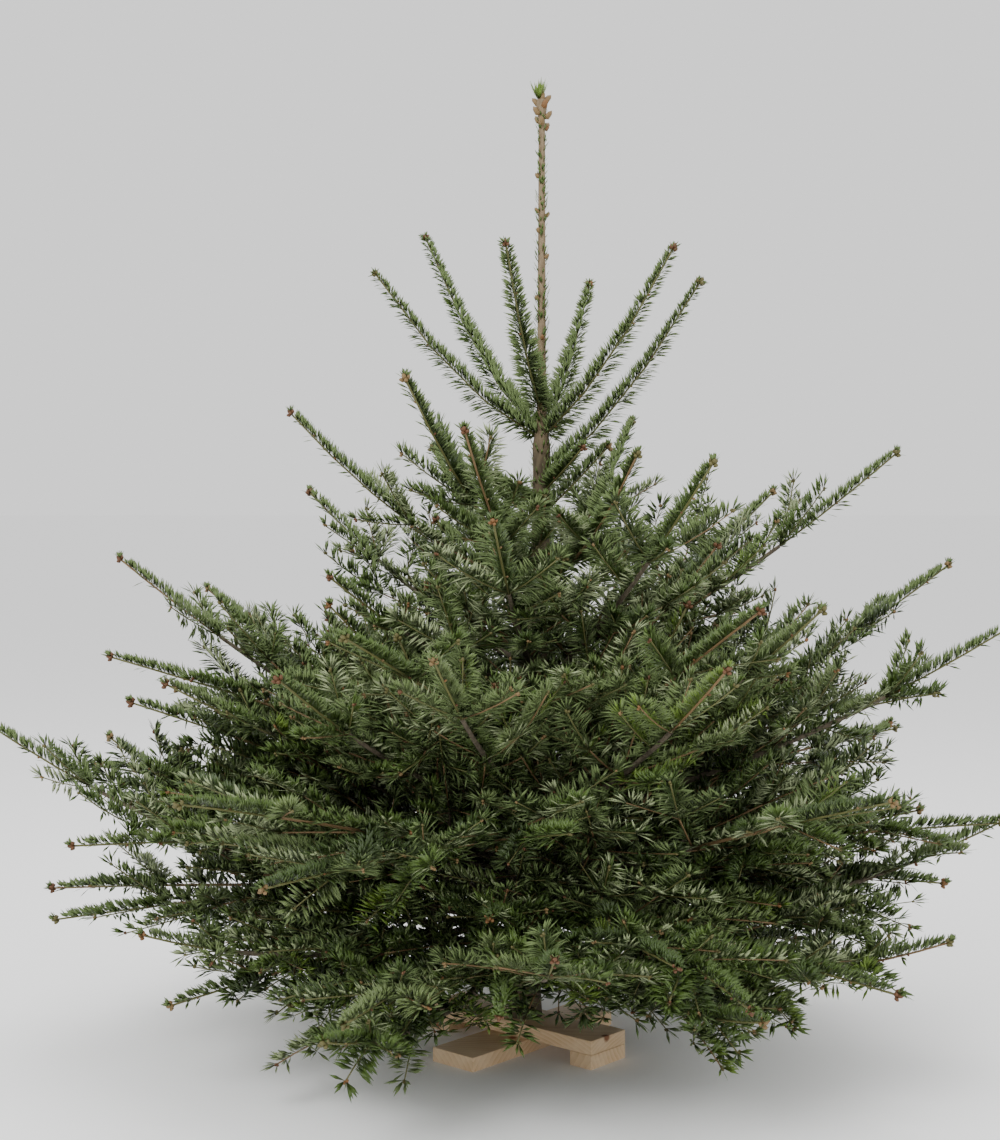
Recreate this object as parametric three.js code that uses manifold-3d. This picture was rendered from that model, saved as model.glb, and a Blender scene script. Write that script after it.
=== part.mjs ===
// A cut fir for Christmas on its wooden cross stand. Millimetres, +Z up, the origin under the
// middle of the stand, with the stand's underside at Z = 0.
import * as THREE from "three";
import { mergeVertices } from "three/addons/utils/BufferGeometryUtils.js";
import Module from "manifold-3d";

const wasm = await Module();
wasm.setup();

// ---- Driving dimensions ----------------------------------------------------------------------
const treeHeight = 1450; // stand and leading shoot together
const touchGap = 0.3; // left between two pieces that touch
const cutGap = 0.8; // left between a mass and a neighbour that it is cut round

const stand = {
  boardLength: 320,
  boardWidth: 80,
  boardThickness: 21,
  footLength: 40, // short blocks that level the upper board's two ends
  turn: THREE.MathUtils.degToRad(48.3), // the lower board's direction, from +X
};
const standTop = 2 * stand.boardThickness;

const trunk = { sides: 12, lean: 24, leanOver: 900 }; // leans this far to +X by that height
// The trunk's radius at heights above the floor: flare, yearly steps, leading shoot, end buds.
const trunkProfile = [
  [standTop + touchGap, 26],
  [56, 24.5],
  [90, 22.8],
  [180, 21],
  [300, 19],
  [450, 17],
  [600, 15.5],
  [680, 15.2],
  [770, 13.6],
  [870, 12.6],
  [900, 13.6],
  [922, 9],
  [960, 6.8],
  [1120, 5.9],
  [1300, 5],
  [1385, 4.9],
  [1402, 8.2],
  [1428, 7],
  [treeHeight, 2.2],
];

// Whorls, one for each year, youngest first. A bough is [compass angle in degrees from +X,
// reach of its tip from the trunk's axis, height of its tip, foot above the whorl's height].
// sag is how far the middle hangs under the straight line from foot to tip, per unit of reach.
// A mass starts at start, a share of the length, is widest at middle, and has lobes side tips.
const whorls = [
  {
    name: "year1",
    height: 906,
    sag: 0.06,
    start: 0.07,
    middle: 0.4,
    width: 0.085,
    depth: 26,
    lobes: 0,
    points: 10,
    boughs: [
      [178, 248, 1156, 0],
      [130, 282, 1240, 0],
      [252, 174, 1176, 0],
      [65, 188, 1160, 0],
      [330, 214, 1178, 0],
      [347, 236, 1136, -61],
    ],
  },
  {
    name: "year2",
    height: 680,
    sag: 0.05,
    start: 0.07,
    middle: 0.5,
    width: 0.2,
    depth: 42,
    lobes: 1,
    points: 16,
    boughs: [
      [185, 368, 946, 0],
      [239, 358, 978, 24],
      [253, 356, 908, -14],
      [293, 318, 878, 8],
      [62, 340, 948, 20],
      [120, 340, 905, 0],
    ],
  },
  {
    name: "year3",
    height: 538,
    sag: 0.04,
    start: 0.06,
    middle: 0.55,
    width: 0.25,
    depth: 60,
    lobes: 2,
    points: 18,
    boughs: [
      [0, 538, 888, 0],
      [34, 474, 832, 24],
      [92, 480, 790, 0],
      [145, 446, 832, 24],
      [220, 372, 712, -8],
      [262, 450, 790, 16],
      [297, 474, 864, -6],
    ],
  },
  {
    name: "year4",
    height: 352,
    sag: 0.05,
    start: 0.06,
    middle: 0.58,
    width: 0.25,
    depth: 66,
    lobes: 2,
    points: 20,
    boughs: [
      [180, 614, 730, 0],
      [155, 578, 674, 26],
      [126, 590, 610, -18],
      [90, 600, 620, 14],
      [50, 600, 655, -8],
      [8, 652, 718, 22],
      [345, 688, 638, -16],
      [313, 536, 676, 10],
      [292, 600, 614, -16],
      [258, 600, 628, 22],
      [235, 562, 594, -6],
      [203, 552, 564, 20],
    ],
  },
  {
    name: "year5",
    height: 186,
    sag: 0.075,
    start: 0.26,
    middle: 0.62,
    width: 0.24,
    depth: 72,
    lobes: 3,
    points: 20,
    limb: { foot: 7.5, end: 4.5, sides: 7, steps: 4 },
    boughs: [
      [183, 802, 490, 4],
      [160, 722, 430, -24],
      [128, 700, 420, 30],
      [95, 700, 424, 2],
      [62, 700, 430, -24],
      [30, 716, 440, 30],
      [352, 704, 358, 2],
      [330, 642, 230, -24],
      [300, 568, 172, 28],
      [272, 640, 288, 2],
      [246, 616, 168, -14],
      [212, 608, 240, 28],
    ],
  },
];

// ---- Finishes ----------------------------------------------------------------------------------
const finish = {
  bark: new THREE.MeshStandardMaterial({ color: 0x6e6553, roughness: 0.9, metalness: 0 }),
  board: new THREE.MeshStandardMaterial({ color: 0xd8b98c, roughness: 0.6, metalness: 0 }),
  needles: new THREE.MeshStandardMaterial({ color: 0x3f5636, roughness: 0.65, metalness: 0 }),
};

const tree = new THREE.Group();

// ---- Helpers -----------------------------------------------------------------------------------
// A closed three.js geometry as a solid, after place has moved each of its points.
function solid(geometry, place) {
  geometry.deleteAttribute("normal");
  geometry.deleteAttribute("uv");
  const merged = mergeVertices(geometry);
  const position = merged.attributes.position;
  const point = new THREE.Vector3();
  for (let i = 0; i < position.count; i++) {
    place(point.fromBufferAttribute(position, i));
    position.setXYZ(i, point.x, point.y, point.z);
  }
  return new wasm.Manifold(
    new wasm.Mesh({
      numProp: 3,
      vertProperties: position.array,
      triVerts: new Uint32Array(merged.index.array),
    }),
  );
}

function biggestPiece(made) {
  const pieces = made.decompose();
  return pieces.reduce((a, b) => (b.volume() > a.volume() ? b : a));
}

function add(name, made, material) {
  const { numProp, vertProperties, triVerts } = made.getMesh();
  const geometry = new THREE.BufferGeometry();
  geometry.setAttribute("position", new THREE.BufferAttribute(vertProperties, numProp));
  geometry.setIndex(new THREE.BufferAttribute(triVerts, 1));
  geometry.computeVertexNormals();
  const mesh = new THREE.Mesh(geometry, material);
  mesh.name = name;
  tree.add(mesh);
}

function trunkAxis(height) {
  return trunk.lean * THREE.MathUtils.smoothstep(height, 0, trunk.leanOver);
}

// ---- Trunk and leading shoot -------------------------------------------------------------------
// A cylinder whose rings are moved to the profile's heights, so both ends are flat cuts.
function trunkSolid(spare) {
  const last = trunkProfile.length - 1;
  const cylinder = new THREE.CylinderGeometry(1, 1, 1, trunk.sides, last);
  return solid(cylinder, (p) => {
    const [height, radius] = trunkProfile[Math.round((p.y + 0.5) * last)];
    const outward = Math.hypot(p.x, p.z) * (radius + spare);
    const angle = Math.atan2(-p.z, p.x);
    const x = trunkAxis(height) + outward * Math.cos(angle);
    p.set(x, outward * Math.sin(angle), height);
  });
}

// ---- Stand -------------------------------------------------------------------------------------
// Two boards laid across each other, with a short block under each end of the upper one.
function buildStand() {
  const { boardLength, boardWidth, boardThickness, footLength, turn } = stand;
  const cross = new THREE.Group();
  cross.rotation.z = turn;
  const board = (name, length, width, bottom, top, x, y) => {
    const shape = new THREE.BoxGeometry(length, width, top - bottom);
    const mesh = new THREE.Mesh(shape, finish.board);
    mesh.name = name;
    mesh.position.set(x, y, (bottom + top) / 2);
    cross.add(mesh);
  };
  const footOut = (boardLength - footLength) / 2;
  const upperBottom = boardThickness + touchGap;
  board("stand_lower_board", boardLength, boardWidth, 0, boardThickness, 0, 0);
  board("stand_upper_board", boardWidth, boardLength, upperBottom, standTop, 0, 0);
  board("stand_foot_front", boardWidth, footLength, 0, boardThickness, 0, -footOut);
  board("stand_foot_back", boardWidth, footLength, 0, boardThickness, 0, footOut);
  tree.add(cross);
}

// ---- Boughs ------------------------------------------------------------------------------------
// The line that a bough follows, and the directions along, across and out of it at a share t.
function boughLine(whorl, [compass, reach, tipHeight, footOffset]) {
  const angle = THREE.MathUtils.degToRad(compass);
  const outward = new THREE.Vector3(Math.cos(angle), Math.sin(angle), 0);
  const across = new THREE.Vector3(-Math.sin(angle), Math.cos(angle), 0);
  const footHeight = whorl.height + footOffset;
  const foot = new THREE.Vector3(trunkAxis(footHeight), 0, footHeight);
  const tip = outward.clone().multiplyScalar(reach).setZ(tipHeight);
  tip.x += foot.x;
  const middle = foot.clone().add(tip).multiplyScalar(0.5);
  middle.z -= 2 * whorl.sag * reach;
  const curve = new THREE.QuadraticBezierCurve3(foot, middle, tip);
  const along = (t) => curve.getTangent(t);
  const upward = (t) => along(t).cross(across).normalize();
  return { curve, across, upward, length: curve.getLength() };
}

// One limb, tapering from the trunk to just inside its mass.
function limbSolid(line, limb, end) {
  const cylinder = new THREE.CylinderGeometry(1, 1, 1, limb.sides, limb.steps);
  return solid(cylinder, (p) => {
    const share = (p.y + 0.5) * end;
    const radius = THREE.MathUtils.lerp(limb.foot, limb.end, share / end);
    const at = line.curve.getPoint(share);
    at.addScaledVector(line.across, -p.x * radius);
    at.addScaledVector(line.upward(share), p.z * radius);
    p.copy(at);
  });
}

// The edge of a mass seen from above, as a distance from its middle: long and pointed to the
// tip, blunter to the foot, with side tips and an uneven edge of its own.
function edgeDistance(whorl, angle, forward, backward, half, seed) {
  const ahead = Math.cos(angle) > 0;
  const reach = ahead ? forward : backward;
  const power = ahead ? 0.92 : 1.25;
  const lengthwise = Math.abs(Math.cos(angle) / reach) ** power;
  const sideways = Math.abs(Math.sin(angle) / half) ** power;
  const plain = (lengthwise + sideways) ** (-1 / power);
  const besideTip = Math.sin(angle) ** 2;
  const lobed = 0.24 * besideTip * Math.cos((3 + 2 * whorl.lobes) * angle + seed);
  const uneven = 0.09 * besideTip * Math.sin(2 * angle + 3 * seed);
  return plain * (1 + (whorl.lobes ? lobed : 0) + uneven);
}

// A ball laid flat along the bough: its equator becomes the edge, its poles top and underside.
function massSolid(whorl, line, seed, spare) {
  const latitudes = 4;
  const half = whorl.width * line.length;
  const forward = (1 - whorl.middle) * line.length;
  const backward = (whorl.middle - whorl.start) * line.length;
  const ball = new THREE.SphereGeometry(1, whorl.points, latitudes);
  return solid(ball, (p) => {
    const angle = Math.atan2(-p.z, p.x);
    const flat = Math.hypot(p.x, p.z);
    const edge = edgeDistance(whorl, angle, forward, backward, half, seed);
    const outward = flat * (edge + spare);
    const share = whorl.middle + (outward * Math.cos(angle)) / line.length;
    const lump = 1 + 0.22 * Math.sin(2.3 * angle + 2 * seed) * flat;
    const height = p.y * (whorl.depth * lump + spare);
    const inside = THREE.MathUtils.clamp(share, 0, 1);
    const at = line.curve.getPoint(inside);
    at.addScaledVector(line.curve.getTangent(inside), (share - inside) * line.length);
    at.addScaledVector(line.across, outward * Math.sin(angle));
    at.addScaledVector(line.upward(inside), height);
    p.copy(at);
  });
}

// Each mass is cut round those built before it, and each limb round the trunk and its own mass.
function buildWhorls() {
  const wideTrunk = trunkSolid(cutGap);
  const before = [];
  for (const whorl of whorls) {
    whorl.boughs.forEach((bough, i) => {
      const name = `${whorl.name}_${i + 1}`;
      const seed = 1.7 * i + whorl.height;
      const line = boughLine(whorl, bough);
      let mass = massSolid(whorl, line, seed, 0).subtract(wideTrunk);
      for (const other of before) mass = mass.subtract(other);
      add(`foliage_${name}`, biggestPiece(mass), finish.needles);
      before.push(massSolid(whorl, line, seed, cutGap));
      if (!whorl.limb) return;
      const wideMass = before[before.length - 1];
      const limb = limbSolid(line, whorl.limb, whorl.start + 0.1);
      add(`bough_${name}`, biggestPiece(limb.subtract(wideTrunk).subtract(wideMass)), finish.bark);
    });
  }
}

add("trunk", trunkSolid(0), finish.bark);
buildStand();
buildWhorls();

export default tree;
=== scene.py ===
# %% [markdown]
# # A cut fir on a cross of boards
# This lesson grows a small Christmas tree round a frame of plain solids. The frame gives the trunk,
# the boughs, the stand and one closed solid for each mass of foliage. Every mass is replaced here by
# what grows there on the real tree: yearly shoots, needles and buds. The frame is loaded first, and
# nothing in it is moved.

# %% Load the frame
import math

import bpy
import numpy as np
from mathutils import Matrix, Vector, noise
from mathutils.bvhtree import BVHTree


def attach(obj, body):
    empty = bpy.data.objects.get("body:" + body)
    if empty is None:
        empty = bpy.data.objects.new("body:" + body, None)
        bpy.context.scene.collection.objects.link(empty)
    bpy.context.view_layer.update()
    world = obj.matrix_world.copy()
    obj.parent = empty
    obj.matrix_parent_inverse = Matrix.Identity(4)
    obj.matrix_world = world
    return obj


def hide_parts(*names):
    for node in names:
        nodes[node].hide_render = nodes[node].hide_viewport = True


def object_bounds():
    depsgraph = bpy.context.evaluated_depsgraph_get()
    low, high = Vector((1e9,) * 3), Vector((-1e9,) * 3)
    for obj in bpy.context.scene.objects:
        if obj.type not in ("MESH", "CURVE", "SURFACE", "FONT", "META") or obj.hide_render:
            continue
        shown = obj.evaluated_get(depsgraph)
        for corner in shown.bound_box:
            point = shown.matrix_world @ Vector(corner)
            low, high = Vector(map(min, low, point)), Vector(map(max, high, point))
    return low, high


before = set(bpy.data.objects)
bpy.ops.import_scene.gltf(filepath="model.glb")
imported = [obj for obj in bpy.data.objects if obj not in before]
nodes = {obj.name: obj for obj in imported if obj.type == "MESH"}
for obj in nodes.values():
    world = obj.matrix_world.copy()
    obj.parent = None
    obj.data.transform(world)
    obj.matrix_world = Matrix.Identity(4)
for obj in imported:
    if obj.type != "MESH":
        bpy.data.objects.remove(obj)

cad_box = [list(corner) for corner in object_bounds()]
print("nodes in the frame:", len(nodes))

# %% [markdown]
# ## The stage
# Needles are small and dark. One bright lamp would turn them into sparkle and black, so the light is
# soft: a white sky, a big pale floor that throws light back up, and three wide panels. The camera
# stands a little above the middle of the tree and looks very slightly down.

# %% Camera
CAMERA_PLACE = (-0.038, -2.7, 0.81)
CAMERA_TILT = 0.0355  # radians below the level
LENS = 57.0  # millimetres
SENSOR = 36  # millimetres
FARTHEST = 500  # metres that the camera sees


def add_camera():
    data = bpy.data.cameras.new("camera")
    data.lens = LENS
    data.sensor_width = SENSOR
    data.clip_end = FARTHEST
    camera = bpy.data.objects.new("camera", data)
    camera.location = CAMERA_PLACE
    camera.rotation_euler = (math.pi / 2 - CAMERA_TILT, 0, 0)
    bpy.context.collection.objects.link(camera)
    bpy.context.scene.camera = camera


add_camera()
print("camera at", CAMERA_PLACE, "with a lens of", LENS, "mm")


# %% Floor
FLOOR_SIZE = 300  # metres; its edge lies behind the horizon


def plain_material(name, colour, roughness, specular=0.5):
    """A material of one colour, for what is too small to carry a pattern."""
    material = bpy.data.materials.new(name)
    material.use_nodes = True
    shader = material.node_tree.nodes["Principled BSDF"]
    shader.inputs["Base Color"].default_value = (*colour, 1)
    shader.inputs["Roughness"].default_value = roughness
    shader.inputs["Specular IOR Level"].default_value = specular
    return material


def nothing_selected():
    bpy.ops.object.select_all(action="DESELECT")


def add_floor():
    nothing_selected()
    bpy.ops.mesh.primitive_plane_add(size=FLOOR_SIZE, location=(0, 0, 0))
    floor = bpy.context.object
    floor.name = "floor"
    floor.data.materials.append(plain_material("floor_paper", (0.96, 0.96, 0.96), 0.9, 0.1))


add_floor()
print("floor:", FLOOR_SIZE, "m across")


# %% Sky and lights
SKY_STRENGTH = 1.185
TREE_MIDDLE = (0, 0, 0.6)
PANELS = {  # place and size in metres, and power in watts
    "key": ((-1.9, -2.6, 3.0), 2.0, 110),
    "fill": ((2.8, -2.4, 1.6), 2.0, 42),
    "top": ((0.3, 0.8, 3.6), 2.4, 70),
}


def add_sky():
    world = bpy.data.worlds.new("studio")
    world.use_nodes = True
    background = world.node_tree.nodes["Background"]
    background.inputs["Color"].default_value = (1, 1, 1, 1)
    background.inputs["Strength"].default_value = SKY_STRENGTH
    bpy.context.scene.world = world


def add_panel(name, place, size, power):
    """A square softbox that faces the tree."""
    data = bpy.data.lights.new(name, "AREA")
    data.size = size
    data.energy = power
    panel = bpy.data.objects.new(name, data)
    panel.location = place
    facing = Vector(TREE_MIDDLE) - Vector(place)
    panel.rotation_euler = facing.to_track_quat("-Z", "Y").to_euler()
    bpy.context.collection.objects.link(panel)


add_sky()
for name, setting in PANELS.items():
    add_panel(name, *setting)
print("lights:", list(PANELS))

# %% [markdown]
# ## Reading the tree's plan from the frame
# The trunk's rings give its middle line and its radius at each height. Each mass of foliage gives a
# tip, its farthest point, or its highest one on the steep youngest whorl, and a foot, its nearest
# point. A bough is the curve between them. The number in a mass's name is its age: a bough of the
# fifth year down has grown for five summers. The places could be typed in again, but read from the
# frame they stay right when the frame changes.

# %% Trunk line
DIGITS = 4  # heights are told apart to a tenth of a millimetre


def points_of(node):
    mesh = nodes[node].data
    flat = np.empty(len(mesh.vertices) * 3)
    mesh.vertices.foreach_get("co", flat)
    return flat.reshape(-1, 3)


trunk_points = points_of("trunk")
trunk_heights = np.unique(np.round(trunk_points[:, 2], DIGITS))
trunk_rings = [trunk_points[np.abs(trunk_points[:, 2] - z) < 10**-DIGITS] for z in trunk_heights]
trunk_middles = np.array([(ring.max(0) + ring.min(0)) / 2 for ring in trunk_rings])
trunk_radii = np.array([np.ptp(ring[:, 0]) / 2 for ring in trunk_rings])
tree_top = trunk_heights[-1]


def trunk_at(z):
    """The trunk's middle at a height."""
    x = np.interp(z, trunk_heights, trunk_middles[:, 0])
    y = np.interp(z, trunk_heights, trunk_middles[:, 1])
    return np.array([x, y, z])


def trunk_radius(z):
    return float(np.interp(z, trunk_heights, trunk_radii))


print("trunk: height", round(float(tree_top), 3), "m, radius at the foot", round(trunk_radii[0], 4))


# %% Bough lines
SAG = {1: 0.06, 2: 0.05, 3: 0.04, 4: 0.05, 5: 0.075}  # hang of a mass's middle, by its age
BOW = {1: 0.12, 2: 0.1, 3: 0.055, 4: 0.055, 5: 0.08}  # and of the bough that grows in it
MASS_START = 0.06  # where a mass begins that has no bare limb, as a share of the bough
FOOT_RING = 0.004  # metres; a bare limb's inner end lies within this of its nearest point


def read_bough(node):
    """The tip and foot of the bough that a mass of foliage belongs to, and its age in years."""
    points = points_of(node)
    age = int(node.split("_")[1].removeprefix("year"))
    out = np.hypot(points[:, 0] - trunk_at(points[:, 2].min())[0], points[:, 1])
    tip = points[np.argmax(points[:, 2])] if age == 1 else points[np.argmax(out)]
    limb = node.replace("foliage", "bough")
    if limb in nodes:
        inner = points_of(limb)
        away = np.hypot(inner[:, 0], inner[:, 1])
        foot_height = inner[away < away.min() + FOOT_RING][:, 2].mean()
    else:
        near = points[np.argmin(out)][2]
        rise = tip[2] - near - 4 * SAG[age] * out.max()
        foot_height = near - MASS_START * rise
    sides = [list(face.vertices) for face in nodes[node].data.polygons]
    skin = BVHTree.FromPolygons([Vector(point) for point in points], sides)
    return {"node": node, "age": age, "tip": tip, "foot": trunk_at(foot_height), "skin": skin}


def bough_point(bough, t):
    """A point on the bough's curve, from its foot at t = 0 to its tip at t = 1."""
    foot, tip = bough["foot"], bough["tip"]
    reach = np.hypot(*(tip - foot)[:2])
    middle = (foot + tip) / 2 - np.array([0, 0, 2 * BOW[bough["age"]] * reach])
    return (1 - t) ** 2 * foot + 2 * t * (1 - t) * middle + t * t * tip


masses = sorted(name for name in nodes if name.startswith("foliage"))
boughs = [read_bough(name) for name in masses]
print("boughs by age:", {age: sum(b["age"] == age for b in boughs) for age in SAG})

# %% [markdown]
# ## How a fir grows
# Each spring every bud at the end of a shoot opens into a new straight shoot, and the buds just
# behind it open to the left and right. So after n summers an axis is a chain of n shoots, with a
# pair of side axes at every joint, and each side axis is one year younger than the shoot it leaves.
# The whole lies in one plane, like a hand held flat. Drawn by hand, thousands of shoots would take
# weeks, and scattered at random they would look like a bush. The rule below grows them as the tree
# does. Its chance turns come from one seeded generator, so the tree is the same each time.

# %% One year's shoot
CURVE_POINTS = 4  # points on the middle line of one shoot
rng = np.random.default_rng(24)


def unit(v):
    return v / np.linalg.norm(v)


def shoot_line(start, heading, length, pull):
    """The middle line of one year's shoot, which pull bends a little on the way."""
    steps = np.linspace(0, 1, CURVE_POINTS)[1:]
    points, at = [start], start
    for s in steps:
        at = at + unit(heading + pull * s) * length / len(steps)
        points.append(at)
    return np.array(points)


example = shoot_line(trunk_at(0.3), np.array([1.0, 0, 0]), 0.1, np.array([0, 0, -0.2]))
print("a level shoot of 100 mm sinks", round((example[0] - example[-1])[2] * 1000, 1), "mm")


# %% Where a shoot has no room
LOWEST = 0.045  # metres; no shoot comes nearer the floor than this
OUTERMOST = 0.012  # metres that a shoot may pass the frame's box
STAND_VIEW = (-0.13, 0.02, 0.17)  # the near boards' left end, their gap and their right end, in X
STAND_CLEAR = (0.045, 0.075)  # metres of clear height before the left and the right board
CLEAR_FROM = 0.15  # metres in front of the trunk where the clear height begins to grow
CLEAR_RISE = 0.29  # and how steeply, so that nothing hides the boards from a standing viewer


def no_room(line):
    """True for a shoot that would leave the box, lie on the floor or hang before the stand."""
    low, high = np.array(cad_box)
    if (line < low - OUTERMOST).any() or (line > high + OUTERMOST).any():
        return True
    left, between, right = STAND_VIEW
    x, y, z = line.T
    clear = np.where(x < between, *STAND_CLEAR) + CLEAR_RISE * np.clip(-y - CLEAR_FROM, 0, None)
    in_front = (y < 0) & (x > left) & (x < right)
    return bool((z < np.where(in_front, clear, LOWEST)).any())


print("the example has room:", not no_room(example))


# %% Where side axes leave a shoot
SIDE_SHARE = 0.74  # a side shoot's length, as a share of the shoot it leaves
SIDE_ANGLE, ANGLE_STRAY = 48, 5  # degrees between a side axis and its parent, and its spread
SIDE_RISE, RISE_STRAY = 0.08, 0.14  # side axes stand a little above their parent's plane
OVER_RISE, OVER_STRAY = 0.8, 0.35  # how far those above or below turn up or down, and sideways
LONG_SHOOT = 0.1  # metres; a main shoot longer than this has side axes along it too
ALONG_IT = ((2, 0.75, 0.42), (1, 0.3, 0.34))  # point of the shoot's line, chance, share
OVER_UNDER = (((0.75, 0.3), 0.6, 1), ((0.5, 0.12), 0.5, -0.7))  # chances by level, share, lift


def side_places(shoot, length):
    """Where side axes leave a shoot: start, side (0 is above or below), share and lift."""
    line, level = shoot["line"], shoot["level"]
    places = [(line[-1], side, SIDE_SHARE, 0) for side in (1, -1)]
    if level == 0 and length > LONG_SHOOT:
        for point, chance, share in ALONG_IT:
            places += [(line[point], side, share, 0) for side in (1, -1) if rng.random() < chance]
    for chances, share, lift in OVER_UNDER:
        if rng.random() < chances[level]:
            places.append((line[-1], 0, share, lift))
    return places


def side_heading(shoot, along, side, lift):
    """The way a side axis sets out."""
    flat = shoot["flat"]
    across = np.cross(flat, along)
    if side == 0:
        return unit(along + lift * flat * OVER_RISE + across * rng.normal(0, OVER_STRAY))
    a = math.radians(SIDE_ANGLE + rng.normal(0, ANGLE_STRAY))
    sideways = math.cos(a) * along + side * math.sin(a) * across
    return unit(sideways + flat * rng.normal(SIDE_RISE, RISE_STRAY))


print("a side shoot is", SIDE_SHARE, "of its parent and leaves it at", SIDE_ANGLE, "degrees")


# %% Growing the side axes
SHORTEST = 0.05  # metres; a bud that would make less than this stays closed
LENGTH_RANGE = (0.85, 1.12)  # side axes differ in length by these factors
YEAR_RANGE = (0.88, 1.08)  # and one year's shoots from the next's by these
YEARLY = 0.97  # each year's shoot is this share of the last
PULL_STRAY = 0.06  # how unevenly twigs bend
SIDE_BEND = 0.1  # how much a side axis turns back towards its parent's line after a year
SIDE_ROLL = 20  # degrees by which a side axis's plane leans out of its parent's
TONE_SPREAD = 0.35  # how much darker or lighter a side axis is than its parent


def turned(v, axis, degrees):
    """v turned about a unit axis."""
    a = math.radians(degrees)
    across = np.cross(axis, v)
    return v * math.cos(a) + across * math.sin(a) + axis * np.dot(axis, v) * (1 - math.cos(a))


def grow_axis(tree, bough, lines, level, normal, tone):
    """Adds an axis that is already laid out, one line for each year, and grows its side axes."""
    for year, line in enumerate(lines):
        age = len(lines) - 1 - year
        along = unit(line[-1] - line[0])
        flat = unit(normal - np.dot(normal, along) * along)
        shoot = {"line": line, "flat": flat, "age": age, "level": level, "bough": bough, "tone": tone}
        tree.append(shoot)
        if age > 0 and level < 2:
            grow_sides(tree, shoot, along)


def room(bough, start, heading):
    """How far the bough's mass of foliage reaches from a point in one direction."""
    distance = bough["skin"].ray_cast(Vector(start), Vector(heading))[3]
    return distance or 0


def grow_sides(tree, shoot, along):
    """Side axes at a joint, each one year younger than the shoot and grown to fill the mass."""
    line, flat, bough, years = shoot["line"], shoot["flat"], shoot["bough"], shoot["age"]
    length = np.linalg.norm(line[-1] - line[0])
    for start, side, share, lift in side_places(shoot, length):
        heading = side_heading(shoot, along, side, lift)
        first = length * share * rng.uniform(*LENGTH_RANGE)
        if shoot["level"] == 0:
            fitting = room(bough, start, heading) / years
            first = float(np.clip(fitting, first * bough["least"], first * bough["most"]))
        lines, at = [], start
        bend = -SIDE_BEND * side * np.cross(flat, along)
        for year in range(years):
            step = first * rng.uniform(*YEAR_RANGE) * YEARLY**year
            if step < SHORTEST:
                break
            pull = bough["pull"] + flat * rng.normal(0, PULL_STRAY)
            part = shoot_line(at, heading, step, pull)
            if no_room(part):
                break
            lines.append(part)
            at = part[-1]
            heading = unit(unit(part[-1] - part[-2]) + bend * (year == 0))
        if lines:
            normal = turned(flat, along, rng.normal(0, SIDE_ROLL))
            tone = shoot["tone"] + rng.normal(0, TONE_SPREAD)
            grow_axis(tree, bough, lines, shoot["level"] + 1, normal, tone)


print("a bud that would make less than", SHORTEST * 1000, "mm stays closed")


# %% The boughs of the whorls
JOINT_POWER = 0.96  # a little under 1, so a bough's newest shoots are slightly the shorter
STEEP = 0.3  # rise over reach from which a bough counts as steep
STEEP_PULL, LEVEL_PULL = 0.22, -0.14  # twigs on steep boughs turn up, those on level ones hang
FILL = {"least": 0.85, "most": 1.35}  # how far twigs stretch or shrink to fill their mass
BOUGH_TONES = 0.4  # spread of the boughs' tones


def grow_bough(tree, bough):
    """The main axis follows the bough's curve, and its yearly shoots are nearly equal."""
    foot, tip = bough["foot"], bough["tip"]
    outward = unit((tip - foot) * np.array([1, 1, 0]))
    rise = (tip - foot)[2] / np.linalg.norm((tip - foot)[:2])
    across = np.array([-outward[1], outward[0], 0])
    pull = np.array([0, 0, STEEP_PULL if rise > STEEP else LEVEL_PULL])
    bough.update(FILL, pull=pull, in_whorl=True)
    joints = np.linspace(0, 1, bough["age"] + 1) ** JOINT_POWER
    lines = []
    for a, b in zip(joints[:-1], joints[1:]):
        lines.append(np.array([bough_point(bough, t) for t in np.linspace(a, b, CURVE_POINTS)]))
    normal = np.cross(unit(tip - foot), across)
    grow_axis(tree, bough, lines, 0, normal, rng.normal(0, BOUGH_TONES))


shoots = []
for one in boughs:
    grow_bough(shoots, one)
whorl_shoots = len(shoots)
print("shoots in the whorls:", whorl_shoots)

# %% [markdown]
# ## Between the whorls
# A fir also puts out thinner boughs between its whorls. They close the crown round the trunk and
# keep the floor behind it from showing through. More boughs in the whorls would close it too, but
# would blur the steps that show the tree's years. Each row below is a ring of them, or one or two
# that fill a side. It has the age of the whorl it is nearest to, how many there are, their reach,
# their span of heights and their slope, then the first one's direction and their tone. Their tones
# are darker than the whorls', and darkest on some short low rings: painted shade for the dim inside.

# %% Rings of thinner boughs
# Each ring's tone, its seventh entry or else -0.2, darkens its needles: painted shade inside the
# crown.
RINGS = (
    (5, 8, 0.74, (0.2, 0.28), 0.13),
    (5, 6, 0.66, (0.27, 0.32), 0.22),
    (5, 2, 0.72, (0.26, 0.3), 0.2, 2.95),
    (5, 2, 0.68, (0.3, 0.34), 0.24, 3.4),
    (5, 9, 0.6, (0.17, 0.23), 0.03, 0.1, -0.4),
    (5, 5, 0.46, (0.24, 0.33), 0.55, 0.35),
    (4, 6, 0.6, (0.37, 0.43), 0.24),
    (4, 6, 0.38, (0.4, 0.5), 0.45, 0.5),
    (3, 5, 0.23, (0.55, 0.64), 0.55),
    (2, 3, 0.14, (0.7, 0.76), 0.6, 0.6),
    (2, 5, 0.13, (0.78, 0.84), 0.5, 0.2),
    (5, 5, 0.4, (0.2, 0.26), 0.75, 0.52),
    (4, 7, 0.28, (0.24, 0.36), 0.2, 0.3, -0.9),
    (5, 10, 0.42, (0.13, 0.2), -0.04, 0.2, -0.9),
    (5, 1, 0.7, (0.25, 0.27), 0.12, 3.1),
    (5, 1, 0.68, (0.29, 0.31), 0.16, 3.4),
    (4, 2, 0.6, (0.38, 0.4), 0.26, 0.0),
)
RING_PULLS = (0.14, -0.02)  # of steep and of level ones
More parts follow.
